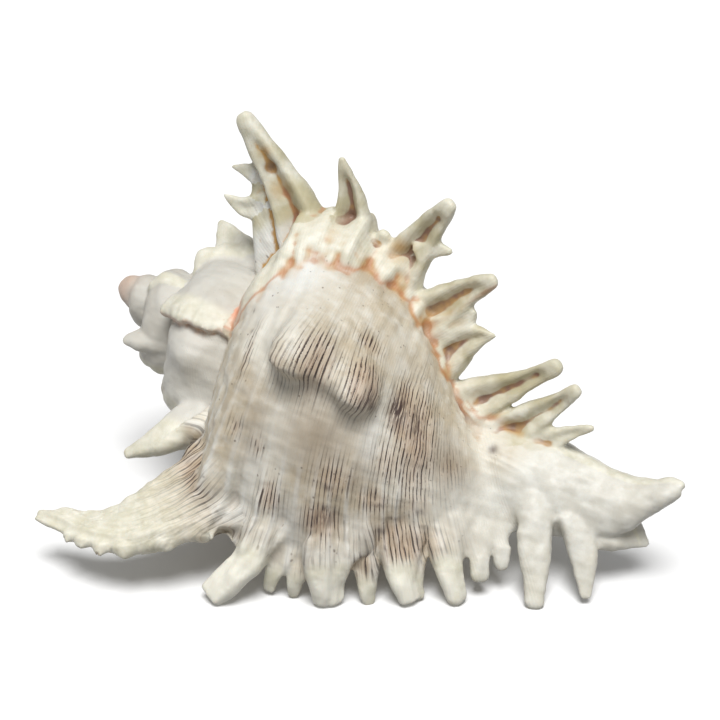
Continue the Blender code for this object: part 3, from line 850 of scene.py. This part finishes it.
print("share of the skin on a varix: %.2f" % (wall > 0.5).mean())

# %% [markdown]
# The measures go to the material as attributes, one number for each vertex, and stay with the
# mesh in any view.

# %% Attributes
MEASURES = {"across": across, "growth": growth, "lines": lines, "dark": dark, "pale": pale,
            "tan": tan, "pit": pit, "spine": along_spine, "groove": in_groove,
            "painted_tip_light": painted_tip_light, "olive": olive, "wall": wall, "orange": orange, "ochre": ochre,
            # depth of the hollows: it darkens them as painted shade and places the grooves' colour
            "salmon": salmon, "hollow_depth_and_shade": smooth(hollow, 0.25, 1.4), "canal": canal,
            "spire": spire, "apex": 1 - smooth(h, 1, 8)}
for name, values in MEASURES.items():
    layer = shell.data.attributes.new(name, "FLOAT", "POINT")
    layer.data.foreach_set("value", values.astype(np.float32))
print("attributes:", len(MEASURES))

# %% [markdown]
# ## Weathered aragonite
#
# The wall is aragonite, laid down in thin crossed layers by the living animal and then worn by
# sand and sun.  To the eye that is off-white, nearly matt with a soft sheen, a little see-through
# at thin edges, and mottled grey and tan.  Its index is 1.53 to 1.68; the lower end suits a worn,
# dry face.  The colours are layers over a base, each with a share from the attributes or from
# noise, as the real stains lie over one another.


# %% Node helper
def linear(hex_colour):
    """Linear RGBA of an sRGB hex colour."""
    parts = [int(hex_colour[i:i + 2], 16) / 255 for i in (1, 3, 5)]
    return (*[c / 12.92 if c <= 0.04045 else ((c + 0.055) / 1.055) ** 2.4 for c in parts], 1.0)


def add(kind, settings, sockets, output=0):
    """Adds a shader node, sets it, gives its sockets values or links, and returns an output."""
    node = tree.nodes.new("ShaderNode" + kind)
    for key, value in settings.items():
        setattr(node, key, value)
    for key, value in sockets.items():
        if isinstance(value, bpy.types.NodeSocket):
            tree.links.new(value, node.inputs[key])
        else:
            node.inputs[key].default_value = value
    return node.outputs[output]


# %% Where the patterns are measured
material = bpy.data.materials.new("weathered_aragonite")
material.use_nodes = True
tree = material.node_tree
tree.nodes.clear()
TIMES, PLUS, MINUS = ({"operation": word} for word in ("MULTIPLY", "ADD", "SUBTRACT"))
CAPPED_TIMES = {"operation": "MULTIPLY", "use_clamp": True}
SOFT_STEP = {"interpolation_type": "SMOOTHSTEP"}
BLEND = {"data_type": "RGBA", "clamp_factor": True}

measure = {name: add("Attribute", {"attribute_name": name}, {}, "Fac") for name in MEASURES}
space = add("VectorMath", {"operation": "SCALE"},
            {0: add("TexCoord", {}, {}, "Object"), "Scale": 1000.0})
growth_mm = add("Math", TIMES, {0: measure["growth"], 1: MM_PER_DEGREE})
coil = add("CombineXYZ", {}, {0: measure["across"], 1: growth_mm})
drawn_out = add("Math", TIMES, {0: growth_mm, 1: 0.12})
streaky = add("CombineXYZ", {}, {0: measure["across"], 1: drawn_out})
print("measures in the material:", len(measure))

# %% [markdown]
# Worn shell is uneven at every size: clouds about 20 mm across, mottling of 4 mm, streaks along
# the growth, and a grain of half a millimetre.  Each is one noise, with its scale in lumps per mm.

# %% Noises and soft steps
# where it is measured, lumps per mm, detail and roughness
LUMPS = {"cloud": (space, 0.045, 4.0, 0.55), "mottle": (space, 0.22, 5.0, 0.6),
         "streak": (streaky, 0.55, 4.0, 0.55), "sway": (streaky, 0.16, 2.0, 0.55),
         "smear": (streaky, 1.5, 3.0, 0.55), "gather": (coil, 0.12, 1.0, 0.55),
         "moss": (space, 0.09, 3.0, 0.55), "rust": (space, 0.16, 2.0, 0.55),
         "grain": (space, 2.2, 4.0, 0.65)}
lumps = {name: add("TexNoise", {}, {"Vector": where, "Scale": scale, "Detail": detail,
                                    "Roughness": rough}, "Fac")
         for name, (where, scale, detail, rough) in LUMPS.items()}
spot = add("TexVoronoi", {"feature": "F1"}, {"Vector": coil, "Scale": 0.36}, "Distance")

# what it is made from, where it starts and where it is full
STEPS = {"cloud": (lumps["cloud"], 0.38, 0.62), "mottle": (lumps["mottle"], 0.4, 0.75),
         "streak": (lumps["streak"], 0.5, 0.75), "wash": (measure["lines"], 0.15, 0.9),
         "smear": (lumps["smear"], 0.36, 0.54), "speck": (spot, 0.17, 0.06),
         "gather": (lumps["gather"], 0.45, 0.56), "canal": (lumps["mottle"], 0.35, 0.65),
         "rise": (measure["spine"], 0.05, 0.4), "bone": (lumps["mottle"], 0.3, 0.7),
         "moss": (lumps["moss"], 0.3, 0.65), "rust": (lumps["rust"], 0.42, 0.58),
         "dirt": (measure["hollow_depth_and_shade"], 0.0, 0.3)}
step = {name: add("MapRange", SOFT_STEP,
                  {"Value": source, "From Min": start, "From Max": full}, "Result")
        for name, (source, start, full) in STEPS.items()}
print("noises and steps:", len(lumps), len(step))

# %% [markdown]
# The brown lines follow the growth.  Real ones are as close as 0.3 mm, which wouldn't show, so
# they are drawn 1.3 and 0.8 mm apart.  Each line is a whole number of periods across the whorl,
# and that number gives it its own noise, so lines swell, thin and break one by one.

# %% Growth lines
half_sway = add("Math", MINUS, {0: lumps["sway"], 1: 0.5})
sway_mm = add("Math", TIMES, {0: half_sway, 1: 2.6})
swayed = add("Math", PLUS, {0: measure["across"], 1: sway_mm})


def growth_lines(period, width, shift):
    """Share of pigment in lines a period apart in mm, width being a share of the period."""
    count = add("Math", PLUS, {0: swayed, 1: shift})
    count = add("Math", {"operation": "DIVIDE"}, {0: count, 1: period})
    number = add("Math", {"operation": "FLOOR"}, {0: count})
    offset = add("Math", {"operation": "FRACT"}, {0: count})
    offset = add("Math", MINUS, {0: offset, 1: 0.5})
    offset = add("Math", {"operation": "ABSOLUTE"}, {0: offset})
    apart = add("Math", TIMES, {0: number, 1: 7.3})
    own = add("CombineXYZ", {}, {0: apart, 1: growth_mm})
    broken = add("TexNoise", {}, {"Vector": own, "Scale": 0.11, "Detail": 3.0,
                                  "Roughness": 0.6}, "Fac")
    broken = add("MapRange", SOFT_STEP,
                 {"Value": broken, "From Min": 0.38, "From Max": 0.52}, "Result")
    thick = add("TexNoise", {}, {"Vector": own, "Scale": 0.35, "Detail": 2.0,
                                 "Roughness": 0.55}, "Fac")
    thick = add("Math", PLUS, {0: thick, 1: 0.25})
    thick = add("Math", TIMES, {0: thick, 1: width})
    away = add("Math", {"operation": "DIVIDE"}, {0: offset, 1: thick})
    edge = add("Math", {"operation": "SUBTRACT", "use_clamp": True}, {0: 1.0, 1: away})
    edge = add("MapRange", SOFT_STEP,
               {"Value": edge, "From Min": 0.0, "From Max": 0.45}, "Result")
    return add("Math", TIMES, {0: edge, 1: broken})


strong_lines, thin_lines = growth_lines(1.3, 0.26, 0.0), growth_lines(0.78, 0.18, 31.0)
strong_density = add("Math", CAPPED_TIMES, {0: measure["lines"], 1: 2.0})
thin_density = add("Math", CAPPED_TIMES, {0: measure["lines"], 1: 1.1})
print("nodes so far:", len(tree.nodes))

# %% Layers of colour
TWO_TONES = {"canal": (step["canal"], "#D9D8D0", "#C9C6BB"),
             "spine": (step["bone"], "#E4E1D2", "#CDC9B2"),
             "groove": (step["rust"], "#A97F48", "#7F5343")}
tones = {name: add("Mix", BLEND, {0: share, 6: linear(first), 7: linear(second)}, 2)
         for name, (share, first, second) in TWO_TONES.items()}
wall_share = add("Math", TIMES, {0: measure["wall"], 1: 0.9})
spine_share = add("Math", {"operation": "MAXIMUM"}, {0: step["rise"], 1: wall_share})
# what gives the share, what else limits it, strength, and colour
LAYERS = [
    (step["cloud"], 1.0, 1.0, "#BDB19A"),  # tan clouds
    (step["mottle"], 1.0, 0.6, "#DDDAD0"),  # chalky mottling
    (step["streak"], 1.0, 0.18, "#A8977F"),  # faint streaks
    (measure["pale"], 1.0, 1.0, "#DEDFDB"),  # bluish white
    (measure["tan"], 1.0, 1.0, "#948570"),  # tan wash: the shell's own darker band, deepened below the knob as painted shade
    (step["wash"], 1.0, 0.55, "#B59B82"),  # blush under the lines
    (thin_lines, thin_density, 0.75, "#7A5648"),
    (strong_lines, strong_density, 0.95, "#2F1F19"),
    (measure["dark"], step["smear"], 0.9, "#3F2D26"),
    (step["speck"], step["gather"], 0.7, "#5B4D42"),
    (measure["spire"], 1.0, 0.75, "#C4C2BB"),  # painted shade: the upper whorls greyed as if turned from the light
    (measure["canal"], 1.0, 0.85, tones["canal"]),
    (spine_share, 1.0, 0.85, tones["spine"]),
    (measure["olive"], step["moss"], 0.75, "#AFA680"),
    # painted light on the tips of the lip's spines
    (measure["painted_tip_light"], 1.0, 0.75, "#F2EFE2"),
    (measure["groove"], step["dirt"], 0.9, tones["groove"]),
    (measure["ochre"], 1.0, 0.75, "#BC9150"),
    (measure["orange"], 1.0, 0.75, "#B4774A"),
    (measure["salmon"], 1.0, 0.85, "#DC8A66"),
    (measure["hollow_depth_and_shade"], 1.0, 0.35, "#8F7F6C"),  # painted shade in the hollows
    (measure["pit"], 1.0, 0.85, "#54403A"),
    (measure["apex"], 1.0, 0.6, "#C4A28C"),  # pink worn tip of the spire
]
base = linear("#D5D0C2")
for share, limit, strength, colour in LAYERS:
    amount = add("Math", TIMES, {0: share, 1: limit})
    amount = add("Math", TIMES, {0: amount, 1: strength})
    over = linear(colour) if isinstance(colour, str) else colour
    base = add("Mix", BLEND, {0: amount, 6: base, 7: over}, 2)
print("layers of colour:", len(LAYERS))

# %% Surface of the shell
phase = add("Math", TIMES, {0: measure["across"], 1: 2 * math.pi / THREAD_SPACING})
thread = add("Math", TIMES, {0: add("Math", {"operation": "COSINE"}, {0: phase}), 1: 0.12})
grain = add("Math", TIMES, {0: lumps["grain"], 1: 0.5})
height = add("Math", PLUS, {0: grain, 1: thread})
bump = add("Bump", {}, {"Strength": 0.35, "Distance": 0.0004, "Height": height})
uneven = add("Math", TIMES, {0: lumps["mottle"], 1: 0.2})
roughness = add("Math", PLUS, {0: uneven, 1: 0.42})
surface = add("BsdfPrincipled", {}, {
    "Base Color": base, "Roughness": roughness, "IOR": 1.53, "Subsurface Weight": 0.12,
    "Subsurface Radius": (1.0, 0.7, 0.5), "Subsurface Scale": 0.002, "Normal": bump})
tree.links.new(surface, tree.nodes.new("ShaderNodeOutputMaterial").inputs["Surface"])
shell.data.materials.clear()
shell.data.materials.append(material)
print("nodes in", material.name + ":", len(tree.nodes))

# %% [markdown]
# ## On its body
#
# The frame has one body and one plain stand-in.  The finished skin rides on that body and takes
# the stand-in's place.

# %% Place the shell on its body
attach(shell, "root")
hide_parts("shell")
print("in place:", shell.name)

# %% [markdown]
# ## Floor, light and camera
#
# The shell lies on a sheet of matt white paper: coated pulp, rolled smooth, which scatters light
# evenly and has no gloss.  The paper stays out of the shell's own diffuse bounces, because a
# sheet this large would fill every shaded side with white and flatten the form.

# %% Floor
FLOOR_HALF = 3.0     # metres
corners = [(FLOOR_HALF * x, FLOOR_HALF * y, 0) for x, y in ((-1, -1), (1, -1), (1, 1), (-1, 1))]
floor_mesh = bpy.data.meshes.new("floor")
floor_mesh.from_pydata(corners, [], [(0, 1, 2, 3)])
floor = bpy.data.objects.new("floor", floor_mesh)
bpy.context.scene.collection.objects.link(floor)
paper = bpy.data.materials.new("matt_white_paper")
paper.use_nodes = True
paper_sockets = paper.node_tree.nodes["Principled BSDF"].inputs
paper_sockets["Base Color"].default_value = linear("#F4F4F4")
paper_sockets["Roughness"].default_value = 0.9
floor_mesh.materials.append(paper)
floor.visible_diffuse = False
print("floor side in m:", 2 * FLOOR_HALF)

# %% [markdown]
# A wide, soft sun from above and a little to the right stands for a large softbox, and a dim
# white world for the pale room.  A sun doesn't fall off across the shell as a near panel would.

# %% Light
world = bpy.data.worlds.new("studio")
bpy.context.scene.world = world
world.use_nodes = True
world.node_tree.nodes["Background"].inputs["Color"].default_value = (1, 1, 1, 1)
world.node_tree.nodes["Background"].inputs["Strength"].default_value = 0.32
sun = bpy.data.lights.new("soft_sun", "SUN")
sun.energy = 3.3
sun.angle = math.radians(28)
lamp = bpy.data.objects.new("soft_sun", sun)
bpy.context.scene.collection.objects.link(lamp)
TOWARDS_SUN = Vector((0.20, -0.40, 0.89))
lamp.rotation_euler = TOWARDS_SUN.to_track_quat("Z", "Y").to_euler()
print("sun strength:", round(sun.energy, 2))

# %% [markdown]
# The camera stands to the right of the front and looks down, from about 0.6 m with a long lens,
# so that near spines don't loom.

# %% Camera
AZIMUTH, ELEVATION, DISTANCE = 25.12, 25.0, 0.6068
target = Vector((-0.0155, 0.0160, 0.0478))
turn, tilt = math.radians(AZIMUTH), math.radians(ELEVATION)
direction = Vector((math.sin(turn) * math.cos(tilt), -math.cos(turn) * math.cos(tilt),
                    math.sin(tilt)))
camera_data = bpy.data.cameras.new("camera")
camera_data.lens = 100
camera = bpy.data.objects.new("camera", camera_data)
bpy.context.scene.collection.objects.link(camera)
camera.location = target + DISTANCE * direction
camera.rotation_euler = (-direction).to_track_quat("-Z", "Y").to_euler()
bpy.context.scene.camera = camera
bpy.context.scene.view_settings.view_transform = "Standard"
print("camera at:", [round(c, 3) for c in camera.location])
